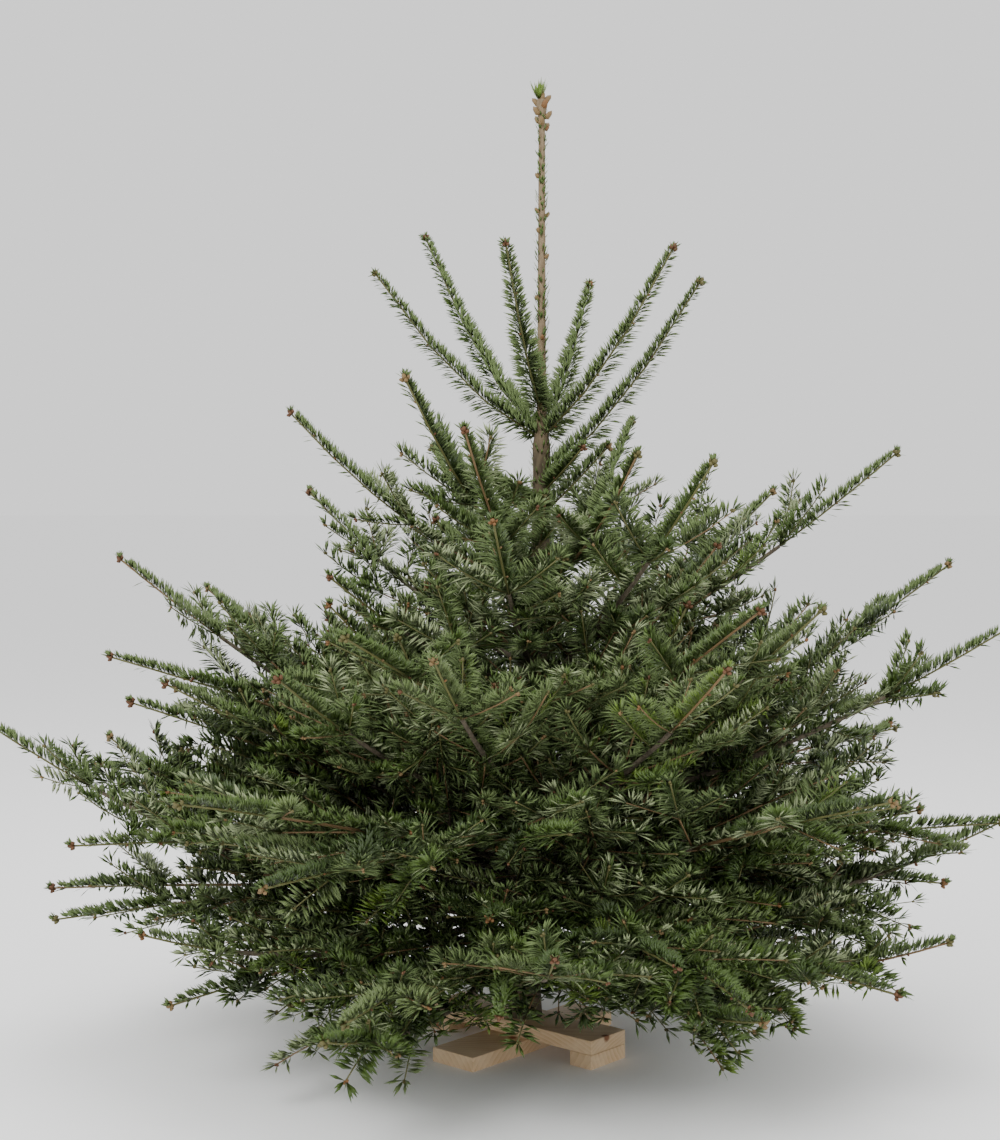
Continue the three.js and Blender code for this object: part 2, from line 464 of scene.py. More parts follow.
ROOT_DEPTH = 0.6  # a thinner bough starts inside the trunk, at this share of its radius
WAY_STRAY, SLOPE_STRAY, RING_TONES = 0.15, 0.17, 0.25  # spreads of direction, slope and tone


# The default tone of -0.2 darkens these boughs' needles: painted shade for the crown's dim inside.
def grow_between(tree, age, count, reach, heights, rise, turn=0.0, tone=-0.2):
    """Thinner boughs from the trunk between two whorls. Each is a year younger than the lower."""
    whorl = [b for b in boughs if b["age"] == age]
    years = max(age - 1, 1)
    for k in range(count):
        way = turn + 2 * math.pi * k / count + rng.uniform(-WAY_STRAY, WAY_STRAY)
        outward = np.array([math.cos(way), math.sin(way), 0])
        z = rng.uniform(*heights)
        heading = unit(outward + np.array([0, 0, rise + rng.normal(0, SLOPE_STRAY)]))
        at = trunk_at(z) + outward * trunk_radius(z) * ROOT_DEPTH
        near = max(whorl, key=lambda b: np.dot(unit((b["tip"] - b["foot"])[:2]), outward[:2]))
        pull = np.array([0, 0, RING_PULLS[0] if rise > STEEP else RING_PULLS[1]])
        home = near | {"pull": pull, "least": 1, "most": 1, "in_whorl": False}
        lines = []
        step = reach * rng.uniform(*YEAR_RANGE) / years
        for _ in range(years):
            part = shoot_line(at, heading, step, pull)
            if no_room(part):
                break
            lines.append(part)
            at = part[-1]
            heading = unit(part[-1] - part[-2])
        if lines:
            normal = np.cross(unit(heading), np.array([-outward[1], outward[0], 0]))
            grow_axis(tree, home, lines, 0, normal, rng.normal(tone, RING_TONES))


for ring in RINGS:
    grow_between(shoots, *ring)
total_length = sum(np.linalg.norm(s["line"][-1] - s["line"][0]) for s in shoots)
print("shoots:", len(shoots), "with", round(total_length, 1), "m of twig")
print("of these between the whorls:", len(shoots) - whorl_shoots)

# %% [markdown]
# ## Twigs
# A twig is a thin closed tube along each shoot's line. A few could be drawn as curves with a bevel,
# but there are thousands, so they are made as arrays: one ring of points is copied to every place
# along every line at once. A shoot is thicker the more years it has carried, and the young ones are
# olive to tan, the older ones grey-brown.

# %% Tubes along many lines
TWIG_SIDES = (6, 4, 3)  # by level: main axes, side axes, and side axes of those


def frames_along(line, flat):
    """Directions along, across and out of a line's plane at each of its points."""
    along = np.gradient(line, axis=0)
    along /= np.linalg.norm(along, axis=1)[:, None]
    across = np.cross(flat, along)
    across /= np.linalg.norm(across, axis=1)[:, None]
    return along, across, np.cross(along, across)


def tube(line, flat, radii, sides):
    """Points and triangles of a closed tube."""
    along, across, out = frames_along(line, flat)
    turn = np.arange(sides) * 2 * math.pi / sides
    ring = np.cos(turn)[None, :, None] * across[:, None] + np.sin(turn)[None, :, None] * out[:, None]
    rings = line[:, None] + ring * np.asarray(radii)[:, None, None]
    points = np.vstack([rings.reshape(-1, 3), line[0], line[-1]])
    k = np.arange(sides)
    after = (k + 1) % sides
    faces = []
    for i in range(len(line) - 1):
        low, high = i * sides, (i + 1) * sides
        faces.append(np.stack([low + k, low + after, high + after], 1))
        faces.append(np.stack([low + k, high + after, high + k], 1))
    first, last, top = len(points) - 2, len(points) - 1, len(points) - 2 - sides
    faces.append(np.stack([np.full_like(k, first), after, k], 1))
    faces.append(np.stack([np.full_like(k, last), top + k, top + after], 1))
    return points, np.vstack(faces)


for sides in TWIG_SIDES:
    faces = tube(example, np.array([0, 0, 1]), [0.001] * CURVE_POINTS, sides)[1]
    print("a twig of", sides, "sides along the example has", len(faces), "triangles")


# %% How thick a twig is
YOUNG_TWIG = (0.0015, 0.001, 0.0008)  # radius in metres, by level
YEAR_OF_TWIG = (0.00115, 0.0005, 0.0003)  # what each year adds to it
LIMB_FROM_AGE = 3  # the main axes of boughs this old are modelled as limbs with bark


def twig_radius(shoot):
    """Radii at a shoot's start and end, thicker with every year that it has carried others."""
    young, yearly = YOUNG_TWIG[shoot["level"]], YEAR_OF_TWIG[shoot["level"]]
    return young + yearly * shoot["age"], young + yearly * max(shoot["age"] - 0.6, 0)


def on_limb(shoot):
    """True for the part of a whorl bough's axis that is a limb, all but its newest shoot."""
    main = shoot["level"] == 0 and shoot["bough"]["in_whorl"]
    return main and shoot["bough"]["age"] >= LIMB_FROM_AGE and shoot["age"] > 0


print("shoots on limbs:", sum(on_limb(s) for s in shoots))
print("the thickest twig:", round(max(twig_radius(s)[0] for s in shoots if not on_limb(s)), 4), "m")


# %% Many parts in one piece
def joined_mesh(name, parts, materials):
    """One piece from many (points, triangles, material number) parts."""
    offset, points, faces, slots = 0, [], [], []
    for part_points, part_faces, part_slots in parts:
        points.append(part_points)
        faces.append(part_faces + offset)
        slots.append(np.broadcast_to(part_slots, len(part_faces)))
        offset += len(part_points)
    points, faces, slots = np.vstack(points), np.vstack(faces), np.concatenate(slots)
    mesh = bpy.data.meshes.new(name)
    mesh.vertices.add(len(points))
    mesh.vertices.foreach_set("co", points.astype(np.float32).ravel())
    mesh.loops.add(faces.size)
    mesh.loops.foreach_set("vertex_index", faces.astype(np.int32).ravel())
    mesh.polygons.add(len(faces))
    mesh.polygons.foreach_set("loop_start", np.arange(0, faces.size, 3, dtype=np.int32))
    for material in materials:
        mesh.materials.append(material)
    mesh.polygons.foreach_set("material_index", slots.astype(np.int32))
    mesh.update(calc_edges=True)
    mesh.validate()
    piece = bpy.data.objects.new(name, mesh)
    bpy.context.collection.objects.link(piece)
    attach(piece, "root")
    print(name, "has", len(faces), "triangles")
    return piece


twig_finishes = [
    plain_material("twig_new_olive", (0.095, 0.095, 0.03), 0.6, 0.3),
    plain_material("twig_tan", (0.15, 0.095, 0.042), 0.65, 0.3),
    plain_material("twig_grey_brown", (0.075, 0.06, 0.04), 0.8, 0.3),
]
NEW_TAN = 0.2  # of the new shoots, those that are tan already


def twig_part(shoot):
    """A shoot's tube and its finish. The thinnest are straight from end to end."""
    line = shoot["line"][:: CURVE_POINTS - 1] if shoot["level"] == 2 else shoot["line"]
    radii = np.linspace(*twig_radius(shoot), len(line))
    points, faces = tube(line, shoot["flat"], radii, TWIG_SIDES[shoot["level"]])
    finish = min(shoot["age"], 2)
    if shoot["age"] == 0 and rng.random() < NEW_TAN:
        finish = 1
    return points, faces, finish


joined_mesh("twigs", [twig_part(s) for s in shoots if not on_limb(s)], twig_finishes)

# %% [markdown]
# ## Needles
# A fir needle is a flat strip, about 27 mm long and 2 mm wide, dark and glossy above, with two pale
# bands below. Hair strands would draw them fast but leave no mesh, and there are far too many to
# model one by one. So each is a closed kite of four triangles: two upper faces in a green, and two
# lower faces in a paler, duller one. Every colour is plain, and is dealt out shoot by shoot. On a
# side shoot the needles part to the left and right like a comb, and a smaller share lies forward
# over the top. On a leading shoot they brush upwards. On the youngest whorl, which climbs steeply,
# they stand out on all sides.

# %% Needle sizes and numbers
NEEDLE_LENGTH = 0.031
NEEDLE_HALF_WIDTH = {1: 0.0015, 2: 0.0016, 3: 0.0018, 4: 0.0019, 5: 0.0021}  # by the bough's age
NEEDLES_PER_METRE = {1: 2100, 2: 1600, 3: 1040, 4: 800, 5: 660}  # by the bough's age
KEPT_BY_AGE = (1.0, 0.6, 0.36, 0.22, 0.15)  # old shoots have lost some of their needles
WIDER_BY_AGE = (1.0, 1.35, 2.0, 2.4, 2.4)  # one wider kite there stands for several needles
SHADED, OPEN = 0.22, 0.5  # metres from the trunk where the shade ends, and where full light starts
IN_SHADE, IN_LIGHT = 0.7, 1.4  # how many needles stay there, on the boughs of the two lowest whorls
LEADING_MORE = 1.5  # a leading or steep shoot carries more of them than a side shoot


def shoot_kind(shoot):
    if shoot["level"] > 0 or shoot["age"] > 0:
        return "side"
    return "steep" if shoot["bough"]["age"] == 1 else "leading"


def by_age(shares, shoot):
    return shares[min(shoot["age"], len(shares) - 1)]


def needle_count(shoot, kind):
    """More needles on a longer, younger, better lit shoot."""
    start, end = shoot["line"][0], shoot["line"][-1]
    share = by_age(KEPT_BY_AGE, shoot)
    if shoot["bough"]["age"] > 3:
        away = np.hypot(*(end - trunk_at(end[2]))[:2])
        share *= np.interp(away, (SHADED, OPEN), (IN_SHADE, IN_LIGHT))
    if kind != "side":
        share *= LEADING_MORE
    return int(NEEDLES_PER_METRE[shoot["bough"]["age"]] * np.linalg.norm(end - start) * share)


print("needles in all:", sum(needle_count(s, shoot_kind(s)) for s in shoots))


# %% Needle finishes
greens = [
    plain_material("needle_old_green", (0.029, 0.052, 0.008), 0.45, 0.42),
    plain_material("needle_deep_green", (0.047, 0.084, 0.014), 0.42, 0.42),
    plain_material("needle_green", (0.075, 0.127, 0.021), 0.4, 0.42),
    plain_material("needle_grey_green", (0.13, 0.18, 0.058), 0.42, 0.42),
    plain_material("needle_fresh_green", (0.13, 0.21, 0.026), 0.42, 0.42),
    # A dimmed copy of the pale underside: painted shade on the undersides of most shoots.
    plain_material("needle_underside_painted_shade", (0.13, 0.185, 0.06), 0.6, 0.33),
    plain_material("needle_pale_underside", (0.31, 0.37, 0.19), 0.6, 0.33),
]
GREEN, FRESH, SHADE_PAINTED_UNDER, PALE_UNDER = 2, 4, 5, 6
MIDDLE_GREEN = 2.1  # the green of a new shoot of middling tone, as a place in the list
AGEING = 0.6  # how far it goes down the list each year
TONE_STEP, COLOUR_STRAY = 1.2, 0.6  # how far a tone moves it, and chance
PALE_SHARE = 0.33  # of the side shoots, those whose undersides are pale


def needle_colours(shoot, kind):
    """The upper and lower finishes of a shoot's needles."""
    light = MIDDLE_GREEN + shoot["tone"] * TONE_STEP - AGEING * shoot["age"]
    upper = int(np.clip(round(light + rng.normal(0, COLOUR_STRAY)), 0, FRESH))
    pale = rng.random() < PALE_SHARE and kind == "side"
    # Undersides that are not pale get the dimmed copy, which is painted shade.
    return upper, PALE_UNDER if pale else SHADE_PAINTED_UNDER


print("needle finishes:", [material.name for material in greens])


# %% How needles stand on a shoot
OVER_SHARE = {"side": 0.38, "steep": 0.55}  # of the needles, those that lie over the top
UNDER_SHARE = 0.25  # and on a steep shoot those that stand below
OVER_SPREAD = {"side": 44, "steep": 44, "leading": 46}  # degrees round the shoot
COMB, COMB_SPREAD = 74, 18  # degrees from the top to the combed needles
LEAN_STRAY, LEAN_LIMITS, TIP_FAN = 6, (8, 86), (8, 72)  # degrees
END_LENGTH = 0.86  # needles at a shoot's ends, as a share of those in its middle
OVER_SHORTER, LENGTH_STRAY = 0.16, 0.06  # shares of a needle's length
# How far needles lean away from a shoot at its foot, and how much less at its tip and on its top,
# in degrees. Then their length at its foot, the loss by its tip, and how late that loss comes.
LEAN = {"side": (78, 8, 20), "steep": (64, 10, 0), "leading": (64, 10, 0)}
TAPER = {"side": (1, 0, 1), "steep": (1.14, 0.66, 1.3), "leading": (0.96, 0.36, 1.8)}


def angles_round(kind, count):
    """Where needles stand round the shoot, in radians from straight above it."""
    side = rng.choice((-1, 1), count)
    if kind == "leading":
        return np.radians(rng.normal(0, OVER_SPREAD[kind], count))
    pick = rng.random(count)
    over = rng.normal(0, OVER_SPREAD[kind], count)
    comb = side * rng.normal(COMB, COMB_SPREAD, count)
    around = np.where(pick < OVER_SHARE[kind], over, comb)
    if kind == "steep":
        around = np.where(pick > 1 - UNDER_SHARE, side * rng.uniform(90, 180, count), around)
    return np.radians(around)


def angles_away(kind, t, top):
    """How far needles lean away from the shoot's line. Those at its very tip fan out."""
    lean, less_at_tip, less_on_top = LEAN[kind]
    spread = lean - less_at_tip * t - less_on_top * top
    spread += rng.normal(0, LEAN_STRAY, len(t))
    spread = np.where(t < 1, spread, rng.uniform(*TIP_FAN, len(t)))
    return np.radians(np.clip(spread, *LEAN_LIMITS))


def needle_lengths(kind, t, top, shoot_length):
    """Longest in the middle of a shoot, shorter on its upper side and on a short shoot."""
    size = NEEDLE_LENGTH * (END_LENGTH + (1 - END_LENGTH) * np.sin(math.pi * t))
    size *= (1 - OVER_SHORTER * top) * rng.normal(1, LENGTH_STRAY, len(t))
    full, loss, power = TAPER[kind]
    size *= full - loss * t**power
    return size * min(1, 0.8 + shoot_length * 3)


print("needles lean away by", {kind: lean[0] for kind, lean in LEAN.items()}, "degrees at the foot")


# %% A needle as a kite
KITE = np.array([[0, 2, 1], [2, 3, 1], [0, 1, 3], [0, 3, 2]])  # two upper triangles, two lower
NEEDLE_RAISE = 0.0004  # how far a kite's left and right corners stand above its foot and tip
NEEDLE_WIDEST = 0.58  # where along its length a needle is widest


def each_unit(rows):
    return rows / np.linalg.norm(rows, axis=1)[:, None]


def kites(base, heading, face, size, half_width):
    """A closed kite for each needle, as points and triangles. face is the side that looks up."""
    face = each_unit(face - np.sum(face * heading, 1)[:, None] * heading)
    half = np.cross(face, heading) * half_width
    middle = base + heading * (size * NEEDLE_WIDEST)[:, None] + face * NEEDLE_RAISE
    tip = base + heading * size[:, None]
    points = np.stack([base, middle + half, middle - half, tip], 1).reshape(-1, 3)
    faces = (np.arange(len(base))[:, None, None] * 4 + KITE).reshape(-1, 3)
    return points, faces


print("one needle has", len(KITE), "triangles")


# %% The needles of one shoot
TIP_NEEDLES = {"side": 9, "leading": 18, "steep": 14}  # they stand in a tuft round the end bud
FEWEST = 4  # a shoot that would carry fewer needles than this has none
UNDER_SKIN = 0.7  # a needle's foot lies inside the twig, at this share of its radius
TWIST = 0.3  # radians by which needles roll about their own length


def needle_part(shoot):
    """All needles of one shoot, as points, triangles and finishes."""
    line, kind = shoot["line"], shoot_kind(shoot)
    count = needle_count(shoot, kind)
    if count < FEWEST:
        return None
    t = np.sort(rng.uniform(0.02, 1, count))
    t[-TIP_NEEDLES[kind] :] = 1
    stations = np.linspace(0, 1, len(line))

    def at(values):
        return np.stack([np.interp(t, stations, values[:, k]) for k in range(3)], 1)

    along, across, out = (at(values) for values in frames_along(line, shoot["flat"]))
    around = angles_round(kind, count)
    top = np.clip(np.cos(around), 0, 1)
    away = angles_away(kind, t, top)
    radial = np.cos(around)[:, None] * out + np.sin(around)[:, None] * across
    heading = each_unit(np.cos(away)[:, None] * along + np.sin(away)[:, None] * radial)
    face = (1 - 0.8 * top)[:, None] * out + (0.8 * top)[:, None] * along
    face = each_unit(face - np.sum(face * heading, 1)[:, None] * heading)
    twist = rng.normal(0, TWIST, count)[:, None]
    face = np.cos(twist) * face + np.sin(twist) * np.cross(face, heading)
    size = needle_lengths(kind, t, top, np.linalg.norm(line[-1] - line[0]))
    start, end = twig_radius(shoot)
    skin = (start + (end - start) * t) * UNDER_SKIN
    half_width = NEEDLE_HALF_WIDTH[shoot["bough"]["age"]] * by_age(WIDER_BY_AGE, shoot)
    points, faces = kites(at(line) + radial * skin[:, None], heading, face, size, half_width)
    upper, lower = needle_colours(shoot, kind)
    return points, faces, np.tile([upper, upper, lower, lower], count)


PIECES_BY_AGE = {1: 1, 2: 1, 3: 1, 4: 3, 5: 6}  # the boughs of an age are shared out among these


def needle_piece(name, group):
    """The needles of several boughs, which stand for those boughs' masses."""
    chosen = {b["node"] for b in group}
    parts = [needle_part(s) for s in shoots if s["bough"]["node"] in chosen]
    piece = joined_mesh(name, [p for p in parts if p], greens)
    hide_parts(*sorted(chosen))


for age, pieces in PIECES_BY_AGE.items():
    of_age = [b for b in boughs if b["age"] == age]
    for k in range(pieces):
        needle_piece(f"needles_year{age}_{k + 1}", of_age[k::pieces])

# %% [markdown]
# ## Buds
# Every shoot ends in a bud with smaller ones round it, and next year's growth comes out of them. A
# bud is a fat drop, a few millimetres across. It could be a plain ball, but its pointed end is what
# makes it read as a bud. So it is modelled once, as a ball that is widened and narrowed to a tip,
# and then copied to the shoots. A shape that is copied thousands of times has to be plain, so it
# has twenty triangles.

# %% One bud, modelled
def select_points(mesh, test):
    """In edit mode, selects the points that pass the test."""
    bpy.ops.mesh.select_all(action="DESELECT")
    bpy.ops.object.mode_set(mode="OBJECT")
    for vertex in mesh.vertices:
        vertex.select = test(vertex.co)
    bpy.ops.object.mode_set(mode="EDIT")


def model_bud():
    """A bud of unit length that stands on the origin, as points and triangles."""
    nothing_selected()
    bpy.ops.mesh.primitive_uv_sphere_add(segments=5, ring_count=3, radius=0.5, location=(0, 0, 0.5))
    bud = bpy.context.object
    bpy.ops.object.transform_apply(location=True)
    bpy.ops.object.mode_set(mode="EDIT")
    bpy.ops.mesh.select_mode(type="VERT")
    bpy.ops.transform.resize(value=(1.1, 1.1, 1), center_override=(0, 0, 0.5))
    select_points(bud.data, lambda co: 0.6 < co.z < 0.9)
    bpy.ops.transform.resize(value=(0.74, 0.74, 1), center_override=(0, 0, 0.7))
    bpy.ops.mesh.select_all(action="SELECT")
    bpy.ops.mesh.quads_convert_to_tris()
    bpy.ops.object.mode_set(mode="OBJECT")
    points = np.array([vertex.co for vertex in bud.data.vertices])
    faces = np.array([list(polygon.vertices) for polygon in bud.data.polygons])
    bpy.data.objects.remove(bud)
    return points, faces


BUD_POINTS, BUD_FACES = model_bud()
print("one bud has", len(BUD_FACES), "triangles")

# %% Buds at the ends of shoots
bud_finishes = [
    plain_material("bud_red_brown", (0.11, 0.05, 0.022), 0.55, 0.3),
    plain_material("bud_orange_brown", (0.17, 0.083, 0.03), 0.55, 0.3),
    plain_material("bud_tan", (0.18, 0.118, 0.05), 0.55, 0.3),
    plain_material("bud_green_brown", (0.1, 0.09, 0.03), 0.55, 0.3),
]
ORANGE, TAN = 1, 2
FINISH_SHARES = ((0.3, 0.2, 0.22, 0.28), (0.15, 0.08, 0.22, 0.55))  # on main and on side axes
END_BUD, ROUND_BUD, SIDE_BUD = (0.0088, 0.0072), (0.0072, 0.006), (0.0048, 0.0036)  # long, wide
BUDS_AROUND = (4, 1, 0)  # smaller buds round the end bud, by level
BUD_SIZE = (1.08, 0.72, 0.55)  # by level
END_SUNK, ROUND_SUNK = 0.001, 0.002  # metres that a bud's foot lies back from the shoot's end


def bud_part(place, heading, size, finish):
    """One bud with its foot at place. Its size is a length and a width."""
    length, width = size
    heading = unit(heading)
    across = unit(np.cross(heading, (0.3, 0.5, 0.81)))
    out = np.cross(heading, across)
    local = BUD_POINTS * np.array([width, width, length])
    points = place + local[:, :1] * across + local[:, 1:2] * out + local[:, 2:] * heading
    return points, BUD_FACES, finish


def end_buds(shoot):
    """A bud at the end of a shoot with smaller ones round it."""
    line, flat, level = shoot["line"], shoot["flat"], shoot["level"]
    heading = unit(line[-1] - line[-2])
    across = np.cross(flat, heading)
    size = BUD_SIZE[level] * rng.uniform(0.85, 1.15)
    tone = rng.choice(len(bud_finishes), p=FINISH_SHARES[level > 0])
    buds = [bud_part(line[-1] - heading * END_SUNK, heading, np.multiply(END_BUD, size), tone)]
    first = rng.uniform(0, 2 * math.pi)
    for k in range(BUDS_AROUND[level]):
        turn = first + 2 * math.pi * k / BUDS_AROUND[level]
        side = math.cos(turn) * across + math.sin(turn) * flat
        foot = line[-1] + (side - heading) * ROUND_SUNK * size
        buds.append(bud_part(foot, heading + side * 0.9, np.multiply(ROUND_BUD, size), tone))
    return buds


print("the widest end bud:", round(END_BUD[1] * max(BUD_SIZE) * 1000, 1), "mm")


# %% Buds along shoots
BUD_SPACING = 0.06  # metres between side buds on a long new shoot
SIDE_BUD_OUT = 0.0012  # metres from the shoot's line to a side bud's foot
SMALL_BUDDED = 0.45  # of the smallest new shoots, those whose bud is big enough to see


def side_buds(shoot):
    """Small buds along the sides of a long new shoot."""
    line, flat = shoot["line"], shoot["flat"]
    along = unit(line[-1] - line[0])
    count = int(np.linalg.norm(line[-1] - line[0]) / BUD_SPACING)
    buds = []
    for k in range(count):
        t = (k + rng.uniform(0.3, 0.9)) / (count + 0.5) * (len(line) - 1)
        place = line[int(t)] + (line[int(t) + 1] - line[int(t)]) * (t % 1)
        side = unit(np.cross(flat, along) * rng.choice((-1, 1)) + flat * rng.normal(0, 0.6))
        place += side * SIDE_BUD_OUT
        buds.append(bud_part(place, along * 0.7 + side, SIDE_BUD, rng.choice(3)))
    return buds


bud_parts = []
for shoot in shoots:
    if shoot["age"] == 0 and (shoot["level"] < 2 or rng.random() < SMALL_BUDDED):
        bud_parts += end_buds(shoot)
        if shoot["level"] == 0:
            bud_parts += side_buds(shoot)
print("buds on the boughs:", len(bud_parts))

# %% [markdown]
# ## The leading shoot
# The top of the trunk is this year's leading shoot. It is nearly bare: a few short needles lie
# forward along it, small groups of buds sit on its sides, and a ring of fat buds with a tuft of
# fresh needles ends it. The rule for twigs would clothe it like the others, so it gets its own.
# Needles and buds are the shapes made above, set round the trunk's line.

# %% The leading shoot's needles
LEADER_FOOT = float(np.mean([b["foot"][2] for b in boughs if b["age"] == 1])) + 0.02
LEADER_END = tree_top - 0.05
STEM_TOP = LEADER_END + 0.012  # where the wood ends, inside the buds
STEM_FROM = LEADER_FOOT - 0.13  # such needles begin a little under the youngest whorl
STEM_NEEDLES, TUFT_NEEDLES = 560, 60
STEM_LENGTHS, TUFT_LENGTHS = (0.008, 0.016), (0.016, 0.034)  # metres
STEM_LEANS, TUFT_LEANS = (0.35, 0.75), (0.1, 0.6)  # how far they go out for each metre up
TUFT_SHIFT = np.array([-0.004, 0, 0])  # the tuft stands a little off the stem's middle


def upright_needles(places, sides, leans, sizes, upper):
    """Needles that rise from places and lean to their sides."""
    heading = each_unit(np.array([0, 0, 1]) + sides * leans[:, None])
    points, faces = kites(places, heading, sides, sizes, NEEDLE_HALF_WIDTH[1])
    return points, faces, np.tile([upper, upper, PALE_UNDER, PALE_UNDER], len(places))


def ways_round(turns):
    """Level directions for an array of angles."""
    return np.stack([np.cos(turns), np.sin(turns), np.zeros_like(turns)], 1)


def stem_needles():
    """Short needles along the stem, shorter still towards its end."""
    heights = STEM_FROM + (LEADER_END - STEM_FROM) * rng.random(STEM_NEEDLES) ** 1.3
    sides = ways_round(rng.uniform(0, 2 * math.pi, STEM_NEEDLES))
    places = np.array([trunk_at(z) + side * trunk_radius(z) * 0.92 for z, side in zip(heights, sides)])
    shorter = np.clip(1.25 - 0.4 * (heights - LEADER_FOOT) / (LEADER_END - LEADER_FOOT), 0.8, 1.3)
    sizes = rng.uniform(*STEM_LENGTHS, STEM_NEEDLES) * shorter
    return upright_needles(places, sides, rng.uniform(*STEM_LEANS, STEM_NEEDLES), sizes, GREEN)


def tuft_needles():
    sides = ways_round(rng.uniform(0, 2 * math.pi, TUFT_NEEDLES))
    places = trunk_at(STEM_TOP) + TUFT_SHIFT + sides * 0.002
    sizes = rng.uniform(*TUFT_LENGTHS, TUFT_NEEDLES)
    return upright_needles(places, sides, rng.uniform(*TUFT_LEANS, TUFT_NEEDLES), sizes, FRESH)


joined_mesh("leader_needles", [stem_needles(), tuft_needles()], greens)

# %% The leading shoot's buds
RING_OF_BUDS = 9
TOP_BUD, RING_BUD, GROUP_BUD = (0.02, 0.0105), (0.017, 0.0105), (0.0105, 0.0075)  # long, wide
BUD_GROUPS = (0.12, 0.27, 0.4, 0.53, 0.61, 0.66, 0.78, 0.93)  # places up the leading shoot
RING_TURN, GROUP_TURN = 2.4, 1.9  # radians from one bud to the next


def leader_buds():
    """Fat buds round the end, and small groups on the way up."""
    end = trunk_at(LEADER_END)
    up = np.array([0, 0, 1])
    buds = [bud_part(end + up * 0.006, up + np.array([0.12, 0, 0]), TOP_BUD, TAN)]
    for k in range(RING_OF_BUDS):
        side = ways_round(np.array([k * RING_TURN + 0.4]))[0]
        foot = end + side * 0.004 + up * (0.008 - 0.005 * k)
        buds.append(bud_part(foot, up * 1.1 + side, RING_BUD, rng.choice((ORANGE, TAN, TAN))))
    for share in BUD_GROUPS:
        z = LEADER_FOOT + (LEADER_END - LEADER_FOOT) * share
        turn = rng.uniform(0, 2 * math.pi)
        for k in range(rng.integers(1, 4)):
            side = ways_round(np.array([turn + k * GROUP_TURN]))[0]
            place = trunk_at(z + k * 0.003) + side * trunk_radius(z) * 0.9
            buds.append(bud_part(place, up + side, GROUP_BUD, rng.choice((ORANGE, TAN))))
    return buds


joined_mesh("buds", bud_parts + leader_buds(), bud_finishes)

# %% [markdown]
# ## Patterns for bark and boards
# Bark and planed wood are both mottled: two colours mixed by uneven, stretched noise. Painted
# pictures could show it, but would need unwrapping and would repeat. Mottling turns up on the bark
# and on the boards alike, so it is a node group, built once, with its own values in each material.
# A few small helpers make nodes and links, so that each material below stays short.

# %% Helpers for nodes
MIX_A, MIX_B, MIX_COLOUR = 6, 7, 2  # the colour sockets of a Mix node: two in, one out


def add_node(tree, kind, values=None, **settings):
    """A shader node with its settings, and with values for its inputs."""
    node = tree.nodes.new("ShaderNode" + kind)
    for name, value in settings.items():
        setattr(node, name, value)
    for name, value in (values or {}).items():
        node.inputs[name].default_value = value
    return node


def link_all(tree, *pairs):
    for start, end in pairs:
        tree.links.new(start, end)


def mixed(tree, factor, a, b):
    """A colour mix. All three are output sockets."""
    node = add_node(tree, "Mix", data_type="RGBA")
    link_all(tree, (factor, node.inputs["Factor"]), (a, node.inputs[MIX_A]), (b, node.inputs[MIX_B]))
    return node.outputs[MIX_COLOUR]


def mapped(tree, scale=(1, 1, 1), turn=0.0, place=(0, 0, 0)):
    """Object coordinates, stretched and turned about the upright axis."""
    where = add_node(tree, "TexCoord")
    mapping = add_node(tree, "Mapping", {"Scale": scale, "Rotation": (0, 0, turn), "Location": place})
    tree.links.new(where.outputs["Object"], mapping.inputs["Vector"])
    return mapping.outputs["Vector"]


def bump(tree, height, strength, distance):
    node = add_node(tree, "Bump", {"Strength": strength, "Distance": distance})
    tree.links.new(height, node.inputs["Height"])
    return node.outputs["Normal"]


def make_group(name, inputs):
    """A node group that gives a colour and a height, with its input and output nodes."""
    group = bpy.data.node_groups.new(name, "ShaderNodeTree")
    for label, kind, value in inputs:
        made = group.interface.new_socket(name=label, in_out="INPUT", socket_type=kind)
        if value is not None:
            made.default_value = value
    for label, kind in (("Color", "NodeSocketColor"), ("Height", "NodeSocketFloat")):
        group.interface.new_socket(name=label, in_out="OUTPUT", socket_type=kind)
    return group, group.nodes.new("NodeGroupInput").outputs, group.nodes.new("NodeGroupOutput").inputs


print("a Mix node takes its colours at", MIX_A, "and", MIX_B, "and gives one at", MIX_COLOUR)


# %% The mottling group
MOTTLE_INPUTS = (
    ("Vector", "NodeSocketVector", None),
    ("Scale", "NodeSocketFloat", 40.0),
    ("Sharpness", "NodeSocketFloat", 0.2),
    ("Dark", "NodeSocketColor", None),
    ("Light", "NodeSocketColor", None),
)


def build_mottle():
    """Two colours mixed by noise. Sharpness is how far from the middle the mix runs."""
    group, given, result = make_group("mottle", MOTTLE_INPUTS)
    pattern = add_node(group, "TexNoise", {"Detail": 6, "Roughness": 0.62})
    low = add_node(group, "Math", {0: 0.5}, operation="SUBTRACT")
    high = add_node(group, "Math", {0: 0.5}, operation="ADD")
    spread = add_node(group, "MapRange")
    link_all(
        group,
        (given["Vector"], pattern.inputs["Vector"]),
        (given["Scale"], pattern.inputs["Scale"]),
        (given["Sharpness"], low.inputs[1]),
        (given["Sharpness"], high.inputs[1]),
        (pattern.outputs["Fac"], spread.inputs["Value"]),
        (low.outputs[0], spread.inputs["From Min"]),
        (high.outputs[0], spread.inputs["From Max"]),
        (mixed(group, spread.outputs["Result"], given["Dark"], given["Light"]), result["Color"]),
        (spread.outputs["Result"], result["Height"]),
    )
    return group


mottle = build_mottle()


def add_mottle(tree, vector, scale, sharpness, dark, light):
    values = {"Scale": scale, "Sharpness": sharpness, "Dark": (*dark, 1), "Light": (*light, 1)}
    node = add_node(tree, "Group", values, node_tree=mottle)
    tree.links.new(vector, node.inputs["Vector"])
    return node.outputs


print("the mottling group has", len(mottle.nodes), "nodes")

